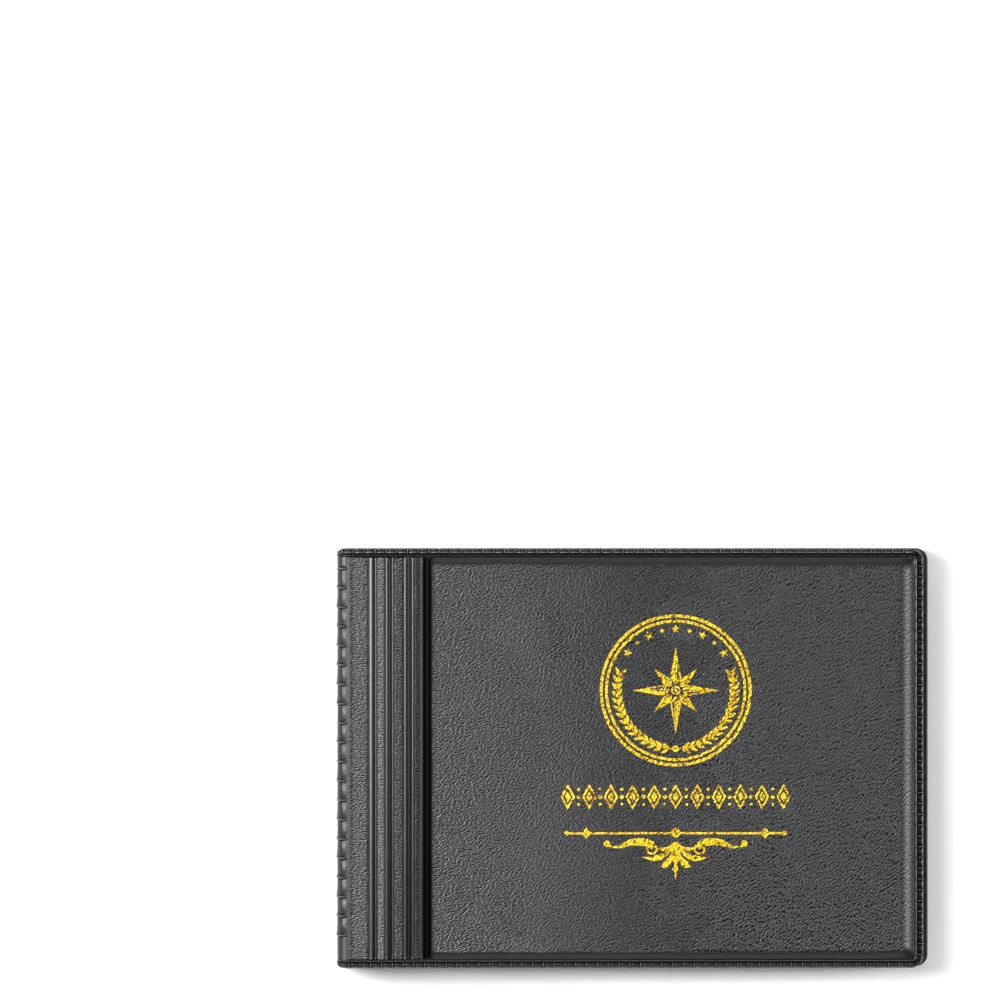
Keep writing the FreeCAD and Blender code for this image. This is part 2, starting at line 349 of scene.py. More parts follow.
# ---------------- relief of the outer vinyl
def pad_height(cover, s, y):
    """Height of the padded panel above strip level, and how much grain shows there."""
    end = cover.end
    # the slopes along head and tail run a little crooked
    wander = 0.1 * np.sin(0.31 * s + np.sign(y)) + 0.07 * np.sin(0.83 * s - 2 * np.sign(y))
    head = (HALF - np.abs(y) - PAD_FOOT + wander) / PAD_SLOPE
    fore = (end - FORE_FOOT - s) / FORE_SLOPE
    groove = (s - WALL_FOOT) / WALL_WIDTH
    inside = (head > 0) & (fore > 0) & (groove > 0)
    one = np.ones(np.broadcast(s, y).shape)
    across = soft_min(np.maximum(head, 0) * 1.03, one, 0.4)
    wall = soft_min(np.maximum(groove, 0) * 1.03, one, 0.5)
    shoulder = 1 - (1 - np.clip(fore, 0, 1)) ** 2.5
    mid_s = (WALL_FOOT + end - FORE_FOOT) / 2
    half_s = (end - FORE_FOOT - WALL_FOOT) / 2
    crown = np.clip((1 - ((s - mid_s) / half_s) ** 4) * (1 - (y / (HALF - PAD_FOOT)) ** 4), 0, 1)
    rounding = smooth((s - WALL_FOOT) / 4.0)
    waves = np.sin(s * 0.21 + 1.3) * np.cos(y * 0.16 + 0.4) + 0.6 * np.sin(s * 0.09 - y * 0.13)
    height = (FOAM - PAD_CROWN) * across * wall * shoulder + (PAD_CROWN + 0.03 * waves) * crown
    height = height + 0.14 * rounding * across * shoulder
    pressed = 0.85 + 0.15 * smooth((fore - 0.35) / 0.35)
    grain = smooth((head - 0.86) / 0.2) * smooth((fore - 0.02) / 0.08) * smooth((groove - 0.9) / 0.5)
    return np.where(inside, height, 0.0), grain * pressed


def hump(s):
    """Height of the flat hump that carries the hinge strips: steady rise, rounded top, steeper fall."""
    share = np.clip((np.asarray(s, float) - ROLL) / (GROOVE_START + 1.3 - ROLL), 0, 1)
    return HUMP_HEIGHT * (share / 0.5) * (1 - share**4) / (1 + (share / 0.5) ** 2.2)


def strip_relief(s, y):
    """Height, grain and painted shading of the roll and the embossed hinge strips: painted shade, or a
    painted highlight where it is negative.
    """
    t = HALF - np.abs(y)
    run = smooth((t - 2.05) / 0.4)
    height = hump(s) - 0.05 * bump(s - 3.0, 1.0)
    # painted shade in the valley between the roll and the first strip
    painted_shading = 0.45 * bump(s - 3.0, 0.7)
    for centre, width, rise in RIDGES:
        top = np.exp(-(((s - centre) / width) ** 4))
        fall = (hump(centre + 0.1) - hump(centre - 0.1)) / 0.2
        height = height + (rise + (0.27 - fall) * (s - centre)) * top
        # painted highlight on the ends of the ridges near head and tail
        painted_shading = painted_shading - 0.45 * top * bump(t - 2.5, 0.22)
        # painted shade in the narrow lines beside each ridge
        for side in (-1, 1):
            line = bump(s - centre - side * (width + 0.24), 0.13)
            height = height - 0.14 * line
            painted_shading = np.where(line > 0.1, np.maximum(painted_shading, line), painted_shading)
    for low, high, depth in CHANNELS:
        floor = between(s, low, high, 0.2, 0.2)
        height = height - depth * floor
        # painted shade on the channel floors
        painted_shading = np.where(floor > 0.05, np.maximum(painted_shading, 0.75 * floor), painted_shading)
    # painted shade over the last strip and on towards the groove
    painted_shading = painted_shading + 0.5 * smooth((s - 19.1) / 0.6)
    groove = smooth((s - GROOVE_START) / 0.7)
    height = height - GROOVE_DEPTH * groove
    # painted shade, or a painted highlight where the shade is negative, over whole stretches
    for low, high, shade in STRIP_SHADES:
        painted_shading = painted_shading + shade * between(s, low, high, 0.5, 0.5)
    # painted shade in the groove beside the pad
    painted_shading = np.where(groove > 0.02, np.maximum(painted_shading, groove), painted_shading)
    grain = np.zeros_like(s)
    for low, high in STRIPS:
        grain = np.maximum(grain, between(s, low, high, 0.5, 0.4))
    grain = np.maximum(grain, 0.12 * smooth((3.6 - s) / 0.7))
    return height * run, grain * run, painted_shading * smooth((t - 1.9) / 0.6)


def ribs(s, y):
    """Transverse ribs across the spine, which end on the roll: height, and painted shade beside each rib with
    a painted highlight on its crest.
    """
    height = np.zeros(np.broadcast(s, y).shape)
    painted_shading = np.zeros_like(height)
    for centre in RIB_CENTRES:
        # painted shade in the dips beside each rib and a painted highlight on its crest
        sides = bump(y - centre - 0.38, 0.15) + bump(y - centre + 0.38, 0.15)
        height = height + bump(y - centre, 0.2) - 0.5 * sides
        painted_shading = painted_shading + sides - 0.5 * bump(y - centre, 0.13)
    fade = smooth((2.45 - s) / 0.4)
    return RIB_HEIGHT * height * fade, np.clip(painted_shading, -0.6, 1) * fade


def outer_relief(cover, s, y):
    """Height, grain and painted shading of the outer face inside the edge bead."""
    strips, strip_grain, strip_painted_shading = strip_relief(s, y)
    pad, pad_grain = pad_height(cover, s, y)
    on_strips = 1 - smooth((s - WALL_FOOT) / WALL_WIDTH)
    rib, painted_marks = ribs(s, y)
    # painted highlight along the pad's fore shoulder
    painted_marks = painted_marks - 0.66 * bump(s - cover.end + 4.0, 0.8) * smooth(HALF - 4.4 - np.abs(y))
    height = strips * on_strips + pad + rib
    # painted shade on the lower part of the pad's wall by the groove
    wall_painted_shade = 1 - smooth((s - WALL_FOOT - 0.3) / 1.7)
    painted_shading = np.where(s < WALL_FOOT, strip_painted_shading, np.minimum(strip_painted_shading, wall_painted_shade))
    # the painted shade and highlight of the ribs and the shoulder are laid over the rest
    painted_shading = painted_shading * (1 - np.abs(painted_marks)) + painted_marks
    return height, np.where(s < WALL_FOOT, strip_grain, pad_grain), painted_shading


def bead_relief(t, q, s, y, end):
    """Height and painted shading of the welded edge at a distance t in; q counts along it, for the stitches.
    """
    fore = smooth((s - end + CORNER) / 1.5)
    strength = 0.35 + 0.65 * smooth((s + 1.5) / 2.5)
    along = from_stitch(q)
    # every stitch is a narrow ridge across the bead with a sunk gap on both sides, which gets painted shade
    gaps = bump(along - 0.27, 0.14) + bump(along + 0.27, 0.14)
    stitch = bump(along, 0.14)
    dome = between(t, 0.05, 1.42, 0.95, 0.36) * (1 - 0.55 * fore)
    window = between(t, 0.05, 1.5, 0.25, 0.2)
    edge = -0.22 * np.clip(1 - t / 0.14, 0, 1) ** 2
    lip = 0.06 * bump(t - 0.2, 0.1)
    valley = bump(t - 1.45, 0.15)
    line = bump(t - 2.05, 0.11)
    beads = (0.05 + 0.14 * stitch) * bump(t - 1.8, 0.13)
    height = 0.42 * dome + (0.14 * stitch - 0.3 * gaps) * window + lip + beads - 0.22 * valley - 0.12 * line
    # painted shade across the middle of the bead along the fore-edge
    low = between(t, 0.45, 1.6, 0.15, 0.15) * (1 - 0.5 * stitch)
    # painted shade in the valley, the inner line and the stitch gaps
    painted_shading = np.maximum(np.maximum(valley, 0.9 * line), gaps * window)
    painted_shading = np.maximum(painted_shading, 0.85 * fore * low)
    tail = (1 - fore) * (y < 0)
    head = (1 - fore) * (y > 0)
    # painted highlights: lines along the bead and ticks on the stitches
    painted_glints = 0.4 * head * bump(t - 1.03, 0.14)
    painted_glints = painted_glints + fore * (0.5 * bump(t - 0.24, 0.13) + 0.4 * bump(t - 1.8, 0.13))
    painted_glints = painted_glints + tail * (0.45 * bump(t - 0.3, 0.11) + 0.35 * bump(t - 1.88, 0.11))
    # painted highlight on each stitch
    stitch_glint = stitch * window * smooth((0.5 - gaps) / 0.4)
    light = np.maximum(0.75 * stitch_glint, painted_glints * (1 - 0.8 * np.clip(gaps, 0, 1)))
    painted_shading = np.clip(painted_shading, 0, 1) * (1 - light)
    return height * strength + edge, (painted_shading - light) * strength


# mesh lines across the edge bead, and round each stitch, rib and ridge
RING = np.array([
    0.0, 0.03, 0.08, 0.15, 0.22, 0.28, 0.34, 0.44, 0.56, 0.7, 0.86, 1.0,
    1.12, 1.22, 1.3, 1.38, 1.46, 1.56, 1.66, 1.73, 1.8, 1.87, 1.95, 2.03,
])
STITCH_STEPS = np.array([-0.5, -0.36, -0.26, -0.16, -0.08, 0.0, 0.08, 0.16, 0.26, 0.36, 0.5])
RIB_STEPS = np.array([-0.7, -0.42, -0.27, -0.13, 0.0, 0.13, 0.27, 0.42, 0.7])
RIDGE_STEPS = np.array([-0.66, -0.5, -0.36, -0.24, -0.12, 0.0, 0.12, 0.24, 0.36, 0.5, 0.66])


def ring_stations(cover):
    """Distances along the edge at which the bead has mesh lines, from one half of the spine to the other."""
    last = 2 * cover.half_way - MIDDLE
    stitches = stitch_lines(math.ceil(MIDDLE / STITCH_PITCH), int(last / STITCH_PITCH), STITCH_STEPS)
    second = cover.half_way + SIDE
    turns = spaced((cover.corner, cover.corner + ARC, 14), (second, second + ARC, 14))
    return merge_lines(MIDDLE, last, stitches, turns)


def station_point(cover, q, t):
    """Sheet position s, y at a distance t in from the edge, for places q along it."""
    corner = cover.corner
    mirrored = q > cover.half_way
    q = np.where(mirrored, 2 * cover.half_way - q, q)
    reach = CORNER - t
    share = np.clip((q - corner) / ARC, 0, 1)
    in_corner = (q > corner) & (q < corner + ARC)
    a = np.where(share <= 0.5, 2 * share * reach, reach)
    b = np.where(share <= 0.5, reach, 2 * (1 - share) * reach)
    s = np.where(in_corner, corner + a, np.where(q <= corner, q, cover.end - t))
    y = np.where(in_corner, SIDE + b, np.where(q <= corner, HALF - t, cover.half_way - q))
    return s, np.where(mirrored, -y, y)


def outer_vinyl(cover, name):
    """The outer skin of a cover and half of the spine, a closed shell as thick as the vinyl."""
    build = Builder(cover)
    end = cover.end
    field_end, top = end - PAD_FOOT, HALF - PAD_FOOT
    s_lines = merge_lines(
        MIDDLE,
        field_end,
        spaced((MIDDLE, WALL_START, 6), (WALL_START, ROLL, 18), (ROLL, 3.6, 8), (3.6, 7.8, 8)),
        around([ridge[0] for ridge in RIDGES], RIDGE_STEPS),
        spaced((10.2, 12, 6), (14.3, 16.5, 6), (17.5, 18.6, 5), (19.6, 20.6, 3)),
        spaced((20.6, WALL_FOOT, 10), (WALL_FOOT, WALL_FOOT + 1.5, 16), (24, 27, 12), (27, 30, 6)),
        spaced((30, end - 8, 30), (end - 8, end - 6, 4), (end - 6, field_end, 26)),
        [cover.corner],
    )
    slope_lines = spaced((top - 6, top - 3, 6), (top - 3, top, 18))
    y_lines = merge_lines(-top, top, around(RIB_CENTRES, RIB_STEPS), slope_lines, -slope_lines, (SIDE, -SIDE))
    s, y = crossed(s_lines, y_lines)
    height, grain, painted_shading = outer_relief(cover, s, y)
    field = build.surface(s, y, height, grain, painted_shading)

    q_lines = ring_stations(cover)
    q, t = crossed(q_lines, RING)
    ring_s, ring_y = station_point(cover, q, t)
    ring_height, ring_pit = bead_relief(t, q, ring_s, ring_y, end)
    ring_height = ring_height + 0.6 * ribs(ring_s, ring_y)[0] * smooth((t - 1.0) / 1.0)
    ring = build.surface(ring_s, ring_y, ring_height, 0.0, ring_pit)

    # round the edge and on to the inner face
    under_t = np.array([0.0, 0.04])
    under_h = np.array([-0.36, -SKIN])
    q, t = crossed(q_lines, under_t)
    under_s, under_y = station_point(cover, q, t)
    under = build.add(under_s, under_y, np.broadcast_to(under_h, q.shape), 0.0)
    build.faces += quads(np.concatenate([under[:, ::-1], ring[:, :1]], 1))

    # outer field joined to the ring
    build.zip(ring[:, -1], q_lines, *build.border(field, s_lines, y_lines))

    # inner face over the foam, which follows the pad only roughly
    back_end, back_top = end - 0.1, HALF - 0.1
    back_s = merge_lines(
        MIDDLE,
        back_end,
        spaced((MIDDLE, WALL_START, 2), (WALL_START, ROLL, 6), (ROLL, 22, 8), (22, 27, 8)),
        spaced((27, end - 7, 16), (end - 7, back_end, 14)),
        [cover.corner],
    )
    rim = back_top - 7
    back_y = spaced((-back_top, -rim, 12), (-rim, rim, 10), (rim, back_top, 12))
    back_y = merge_lines(-back_top, back_top, back_y, (SIDE, -SIDE))
    s, y = crossed(back_s, back_y)
    back = build.surface(s, y, pad_height(cover, s, y)[0] - SKIN)
    build.zip(under[:, -1], q_lines, *build.border(back, back_s, back_y))

    # cut edge in the middle of the spine
    cut = np.concatenate([under[0, ::-1], ring[0], field[0, ::-1], ring[-1, ::-1], under[-1]])
    cut_y = [HALF - under_t[::-1], HALF - RING, y_lines[::-1], RING[::-1] - HALF, under_t - HALF]
    build.zip(cut, -np.concatenate(cut_y), back[0, ::-1], -back_y[::-1])
    return build.finish(name)


front = Cover(FRONT_END, True)
back = Cover(BACK_END, False)


def roll_ends(cover):
    """Where the vinyl starts to turn from the spine and where it has become the cover, in the row frame."""
    wall = cover.place(WALL_START, 0, 0) * MM
    flat = cover.place(ROLL, 0, 0) * MM
    return tuple(wall), tuple(flat)


front_vinyl = outer_vinyl(front, "front_vinyl")
back_vinyl = outer_vinyl(back, "back_vinyl")


# ---------------- linings and foam
RIM_IN = 0.05  # how far the lining's edge lies inside the skin's
BOARD_IN = 2.2  # how far the board lies inside the cover's edge
HINGE_LINES = (9.0, 13.0, 17.8)
EDGE_STEPS = np.array([0.05, 0.15, 0.28, 0.42, 0.6, 0.8, 1.0, 1.25, 1.45, 1.65, 1.9, 2.2, 2.5, 2.9, 3.4])


def lining_depth(cover, s, y):
    """How deep under the outer face the visible side of the lining lies: over the board it stands up."""
    end = cover.end
    slope = 0.8
    nearest = soft_min((end - BOARD_IN - s) / slope, (HALF - BOARD_IN - np.abs(y)) / slope, 0.3)
    nearest = soft_min((s - WALL_FOOT) / slope, nearest, 0.3)
    board = soft_min(np.clip(nearest, 0, 3), np.ones_like(nearest), 0.3)
    on_spine = smooth((ROLL - 0.2 - s) / 3.4)
    t = np.minimum(HALF - np.abs(y), end - s)
    along = np.where(HALF - np.abs(y) < end - s, s, y)
    weld = 0.1 * bump(t - 0.35, 0.16) - 0.12 * bump(t - 1.5, 0.16)
    weld = weld + 0.12 * bump(from_stitch(along), 0.2) * between(t, 0.4, 1.35, 0.2, 0.2)
    hinge_lines = sum(bump(s - centre, 0.4) for centre in HINGE_LINES)
    return SKIN + LINING + 0.8 * on_spine + board + weld * (1 - on_spine) - 0.1 * hinge_lines * smooth(t - 2)


def inner_lining(cover, name):
    """The lining of a cover and half of the spine, a closed shell welded to the skin along the rim."""
    build = Builder(cover)
    end = cover.end
    rim_s, rim_y = end - RIM_IN, HALF - RIM_IN
    weld_steps = (-0.3, 0.0, 0.3)
    side_lines = np.concatenate([HALF - EDGE_STEPS, EDGE_STEPS - HALF])
    s_lines = merge_lines(
        MIDDLE,
        rim_s,
        spaced((MIDDLE, WALL_START, 5), (WALL_START, ROLL + 1, 14), (22.4, 24.2, 10)),
        stitch_lines(2, int(end / STITCH_PITCH) - 1, weld_steps),
        end - EDGE_STEPS,
        [cover.corner],
    )
    y_lines = merge_lines(-rim_y, rim_y, stitch_lines(-18, 18, weld_steps), side_lines, (SIDE, -SIDE))
    s, y = crossed(s_lines, y_lines)
    inner = build.surface(s, y, -lining_depth(cover, s, y), 1.0)
    far_s = merge_lines(MIDDLE, rim_s, spaced((MIDDLE, ROLL, 10), (ROLL, end - 5, 40), (end - 5, rim_s, 12)))
    far_y = merge_lines(-rim_y, rim_y, np.linspace(-HALF, HALF, 40), side_lines)
    s, y = crossed(far_s, far_y)
    depth = lining_depth(cover, s, y)
    outer = build.surface(s, y, -np.minimum(depth - 0.25, np.maximum(depth - LINING, 0.42)))
    build.zip(*build.border(inner, s_lines, y_lines), *build.border(outer, far_s, far_y))
    build.zip(inner[0, ::-1], -y_lines[::-1], outer[0, ::-1], -far_y[::-1])
    return build.finish(name)


def foam_pad(cover, name):
    """The foam between skin and board: crowned on top, flat on the board, with rounded sides."""
    build = Builder(cover)
    end = cover.end
    inset = 0.75
    low_s, high_s, half = WALL_FOOT + inset, end - FORE_FOOT - 1.0, HALF - PAD_FOOT - inset
    s_lines = spaced((low_s, low_s + 3, 12), (low_s + 3, high_s - 6, 40), (high_s - 6, high_s, 24))
    y_lines = spaced((-half, 3 - half, 12), (3 - half, half - 3, 34), (half - 3, half, 12))
    s, y = crossed(s_lines, y_lines)
    side = np.minimum(np.minimum(s - low_s, high_s - s), half - np.abs(y))
    top = pad_height(cover, s, y)[0] - SKIN - 0.05
    upper = np.maximum(top, -0.2 - 0.1 * smooth(side / 0.5))
    lower = np.full_like(top, 0.04 - SKIN)
    pulled = 0.12 * (1 - np.cos(2 * math.pi * y / 30.0)) * smooth((1.2 - (high_s - s)) / 1.2)
    over = build.add(s - pulled, y, np.maximum(upper, lower + 0.08))
    under = build.add(s - pulled, y, lower)
    build.faces = plate(over, under)
    return build.finish(name)


front_lining = inner_lining(front, "front_lining")
back_lining = inner_lining(back, "back_lining")
front_foam = foam_pad(front, "front_foam_pad")
back_foam = foam_pad(back, "back_foam_pad")


# ---------------- pages
PAGES = 10
FILM = 0.2
PAGE_END = 143.5
PAGE_HALF = 49.5
PAGE_CORNER = 2.0
BINDING_IN = 2.2
POCKET_FIRST = 18.5 + SPINE_FACE
POCKET_PITCH = (142.5 - 18.5) / 3
POCKET_ROWS = (-49.0, -0.5)
CREASE_REACH = Vector((0.6, 0, 0))


def crease(page):
    """Place of a page's crease in the row frame, mm, and its tilt at rest; page 1 is on top."""
    at = Vector(joints[f"page_{page:02d}_turn"]["pos_m"]) / MM
    share = (PAGES - page) / (PAGES - 1)
    return at, math.atan(share * math.tan(WEDGE))


def page_sheet(page):
    """One page's backing film from the binding to the fore-edge, with its pressed crease."""
    at, tilt = crease(page)
    length = PAGE_END + SPINE_FACE - at.x
    margin = at.x - SPINE_FACE - BINDING_IN
    reach = np.concatenate([
        np.linspace(-margin, -1.2, 6),
        np.linspace(-0.9, 0.9, 13),
        np.linspace(1.3, 6, 6),
        np.linspace(9, length - 2, 24),
        np.linspace(length - 1.7, length, 8),
    ])
    side = PAGE_HALF - PAGE_CORNER
    across = np.concatenate([np.linspace(0, side, 16), np.linspace(side + 0.3, PAGE_HALF, 8)])
    across = np.concatenate([-across[:0:-1], across])
    x, y = crossed(reach, across)
    # rounded fore corners
    a, b = x - (length - PAGE_CORNER), np.abs(y) - side
    corner = (a > 0) & (b > 0)
    radius = np.maximum(a, b)
    turn = np.arctan2(np.maximum(a, 1e-6), np.maximum(b, 1e-6))
    x = np.where(corner, length - PAGE_CORNER + radius * np.sin(turn), x)
    y = np.where(corner, np.sign(y) * (side + radius * np.cos(turn)), y)
    lift = -0.06 * bump(x, 0.35)
    half_film = FILM / 2 - 0.03 * bump(x, 0.5)
    points = []
    for face in (1, -1):
        z = lift + face * half_film
        outward = np.maximum(x, 0)
        px = at.x + np.where(x > 0, outward * math.cos(tilt) + z * math.sin(tilt), x)
        pz = at.z + np.where(x > 0, z * math.cos(tilt) - outward * math.sin(tilt), z)
        points.append(np.stack([px, y, pz], -1).reshape(-1, 3))
    upper = np.arange(x.size).reshape(x.shape)
    faces = plate(upper, upper + x.size)
    return new_object(f"page_{page:02d}_sheet", np.concatenate(points), faces)


page_sheets = [page_sheet(page) for page in range(1, PAGES + 1)]


# ---------------- the foil stamp
FOIL_LEVELS = (0.06, 0.01)  # top and bottom above the panel


class Film:
    """Thin shapes of foil laid on the front panel, drawn in mm round the middle of the stamp."""

    def __init__(self, middle):
        self.middle = middle
        self.flat = []
        self.faces = []
        self.loops = []

    def _points(self, points):
        start = len(self.flat)
        self.flat += [(float(x), float(y)) for x, y in points]
        return list(range(start, len(self.flat)))

    def fill(self, outline):
        """A solid shape inside a closed outline."""
        index = self._points(outline)
        for face in tessellate_polygon([[Vector((x, y, 0)) for x, y in outline]]):
            self.faces.append([index[k] for k in face])
        self.loops.append(index)

    def band(self, outer, inner):
        """The area between two closed outlines that have the same number of points."""
        a, b = self._points(outer), self._points(inner)
        for i in range(len(a)):
            j = (i + 1) % len(a)
            self.faces.append([a[i], a[j], b[j], b[i]])
        self.loops += [a, b[::-1]]

    def stroke(self, path, widths):
        """A line of changing width along a path."""
        path = np.asarray(path, float)
        step = np.gradient(path, axis=0)
        length = np.maximum(np.hypot(step[:, 0], step[:, 1]), 1e-6)
        normal = np.stack([-step[:, 1] / length, step[:, 0] / length], -1)
        half = np.asarray(widths, float)[:, None] / 2
        a, b = self._points(path + normal * half), self._points(path - normal * half)
        for i in range(len(a) - 1):
            self.faces.append([a[i], a[i + 1], b[i + 1], b[i]])
        self.loops.append(b + a[::-1])

    def finish(self, name, cover):
        """The shapes as one film that lies on the grained panel."""
        flat = np.array(self.flat)
        s, y = self.middle + flat[:, 0], flat[:, 1]
        height = outer_relief(cover, s, y)[0]
        points = np.concatenate([cover.place(s, y, height + level) for level in FOIL_LEVELS])
        count = len(flat)
        faces = [list(face) for face in self.faces] + [[count + i for i in face[::-1]] for face in self.faces]
        for loop in self.loops:
            for i, j in zip(loop, loop[1:] + loop[:1]):
                faces.append([i, j, count + j, count + i])
        sheet = np.tile(cover.sheet(s, y), (2, 1))
        return new_object(name, points, faces, {"sheet": sheet}, smooth_shading=False)


def arc(radius, start, end, steps, centre=(0, 0)):
    """Points on a circle; angles in degrees, anticlockwise from the right."""
    angles = np.radians(np.linspace(start, end, steps))
    return np.stack([centre[0] + radius * np.cos(angles), centre[1] + radius * np.sin(angles)], -1)


def disc(radius, centre, steps=20):
    """Outline of a full circle."""
    return arc(radius, 0, 360 - 360 / steps, steps, centre)


def shape_at(outline, centre, degrees=0.0):
    """An outline turned and moved."""
    cos, sin = math.cos(math.radians(degrees)), math.sin(math.radians(degrees))
    x, y = np.asarray(outline, float).T
    return np.stack([centre[0] + x * cos - y * sin, centre[1] + x * sin + y * cos], -1)


def diamond(half_width, half_height):
    """Outline of an upright lozenge."""
    return [(0, half_height), (-half_width, 0), (0, -half_height), (half_width, 0)]


def leaf(length, width, steps=9):
    """A pointed leaf that starts at the origin and points along x."""
    share = np.linspace(0, 1, steps)
    half = width / 2 * np.sin(math.pi * share**0.85)
    upper = np.stack([length * share, half], -1)
    lower = np.stack([length * share, -half], -1)[-2:0:-1]
    return np.concatenate([upper, lower])


def curve(points, steps=14):
    """Smooth path through points (Catmull-Rom)."""
    points = [np.array(p, float) for p in points]
    padded = [2 * points[0] - points[1]] + points + [2 * points[-1] - points[-2]]
    path = []
    for a, b, c, d in zip(padded, padded[1:], padded[2:], padded[3:]):
        square, cube = 2 * a - 5 * b + 4 * c - d, 3 * b - a - 3 * c + d
        for t in np.linspace(0, 1, steps, endpoint=False):
            path.append(0.5 * (2 * b + (c - a) * t + square * t**2 + cube * t**3))
    return np.array(path + [points[-1]])


def swelling(count, start, middle, end, peak):
    """Widths of a stroke that swells towards a peak."""
    share = np.linspace(0, 1, count)
    up = start + (middle - start) * smooth(share / peak)
    down = end + (middle - end) * smooth((1 - share) / (1 - peak))
    return np.where(share < peak, up, down)


def roundel(film, y):
    """Two rings, a wreath open at the top, small stars in the opening and a compass star."""
    centre = (0, y)
    wreath = 14.6
    for outer, inner in ((19.0, 18.25), (17.65, 17.0)):
        film.band(disc(outer, centre, 160), disc(inner, centre, 160))
    for side in (-1, 1):
        stem = arc(wreath, 90 + side * 75, 90 + side * 178, 60, centre)
        film.stroke(stem, np.full(len(stem), 0.28))
        for i in range(15):
            angle = 90 + side * (76 + i * 7.0)
            for radius, lean in ((14.8, -36), (14.45, 36)):
                at = arc(radius, angle, angle, 1, centre)[0]
                ahead = angle - side * 90
                film.fill(shape_at(leaf(2.6, 0.9), at, ahead + side * lean))
    film.fill(disc(0.8, (0, y - wreath)))
    for i in range(9):
        angle = 90 + (i - 4) * 13.0
        at = arc(15.3, angle, angle, 1, centre)[0]
        if i % 2 == 0:
            film.fill(shape_at(star(5, 1.2, 0.5), at, angle - 90))
        else:
            film.fill(disc(0.45, at, 14))
    # every point of the compass star has one full half and one hollow half
    for i in range(8):
        turn = 45 * i + 90
        reach, share = ((10.8, 1.0), (7.6, 0.85))[i % 2]
        tip = np.array([reach, 0.0])
        root = np.array([3.1, 1.35]) * share
        film.fill(shape_at([(1.5, 0.09), tip, root], centre, turn))
        root = root * [1, -1]
        film.band(
            shape_at([(1.5, -0.09), tip, root], centre, turn),
            shape_at([(2.5, -0.35), tip - [3.0, 0.3], root + [0.3, 0.42]], centre, turn),
        )
    film.band(disc(1.15, centre, 32), disc(0.75, centre, 32))
    film.fill(disc(0.4, centre, 16))


def star(points, reach, waist):
    """A star outline with one point up."""
    outline = []
    for i in range(2 * points):
        radius = waist if i % 2 else reach
        angle = math.pi * i / points
        outline.append((radius * math.sin(-angle), radius * math.cos(angle)))
    return outline


def title_row(film, y):
    """A row of framed lozenges with dots between, in place of the title."""
    count, pitch = 11, 5.4
    for i in range(count):
        x = (i - count // 2) * pitch
        film.band(shape_at(diamond(1.8, 3.2), (x, y)), shape_at(diamond(1.25, 2.25), (x, y)))
        film.fill(shape_at(diamond(0.75, 1.35), (x, y)))
        if i < count - 1:
            for lift in (-1.9, 1.9):
                film.fill(disc(0.36, (x + pitch / 2, y + lift), 12))
            film.fill(disc(0.5, (x + pitch / 2, y), 14))


# sweep, its curl and three fronds on one side of the scroll: path below the rule, then the width of the
# stroke at its start, its widest place and its end, and how far along the widest place is
SCROLL_STROKES = (
    ([(17.0, -3.2), (14.2, -3.4), (11.2, -2.3), (8.2, -2.2), (5.6, -2.9), (4.6, -4.0)], 0.3, 1.9, 0.35, 0.6),
    ([(4.6, -4.0), (5.4, -5.0), (6.8, -4.9), (7.2, -3.9), (6.4, -3.4), (5.8, -3.9)], 0.35, 0.5, 0.4, 0.5),
    ([(0.3, -2.2), (1.6, -3.6), (3.6, -4.0), (4.9, -3.4)], 0.35, 0.8, 0.12, 0.6),
    ([(0.4, -3.0), (2.4, -5.2), (5.2, -6.3), (8.4, -6.0)], 0.35, 1.5, 0.12, 0.6),
    ([(0.4, -4.2), (1.5, -6.6), (2.6, -7.9), (4.0, -8.5)], 0.35, 1.7, 0.12, 0.6),
)


def rule_and_scroll(film, y):
    """A rule with lozenges, and a symmetrical scroll below it."""
    reach = 27.25
    bar = np.linspace(-reach, reach, 60)
    film.stroke(np.stack([bar, np.full_like(bar, y)], -1), np.full(60, 0.5))
    film.fill(disc(1.15, (0, y + 0.1), 24))
    for side in (-1, 1):
        film.fill(disc(0.6, (side * reach, y), 16))
        film.fill(shape_at(star(4, 1.45, 0.84), (side * 22.4, y)))
        film.fill(disc(0.8, (side * 17.2, y - 2.6), 18))
        for path, *widths in SCROLL_STROKES:
            line = curve([(side * px, y + py) for px, py in path])
            film.stroke(line, swelling(len(line), *widths))
    film.fill(shape_at(leaf(6.4, 2.3), (0, y - 2.2), -90))
    film.fill(shape_at(diamond(0.85, 1.3), (0, y - 8.9)))
    film.fill(shape_at(diamond(0.3, 1.0), (0, y - 10.6)))


stamp = Film(84.6)
roundel(stamp, 17.0)
title_row(stamp, -9.6)
rule_and_scroll(stamp, -18.7)
front_stamp = stamp.finish("front_stamp", front)


# ---------------- materials
def material(name, **values):
    """New material with a Principled surface; extra values are its sockets by name."""
    made = bpy.data.materials.new(name)
    made.use_nodes = True
    surface = made.node_tree.nodes["Principled BSDF"]
    for socket, value in values.items():
        surface.inputs[socket.replace("_", " ")].default_value = value
    return made, Nodes(made.node_tree, surface)


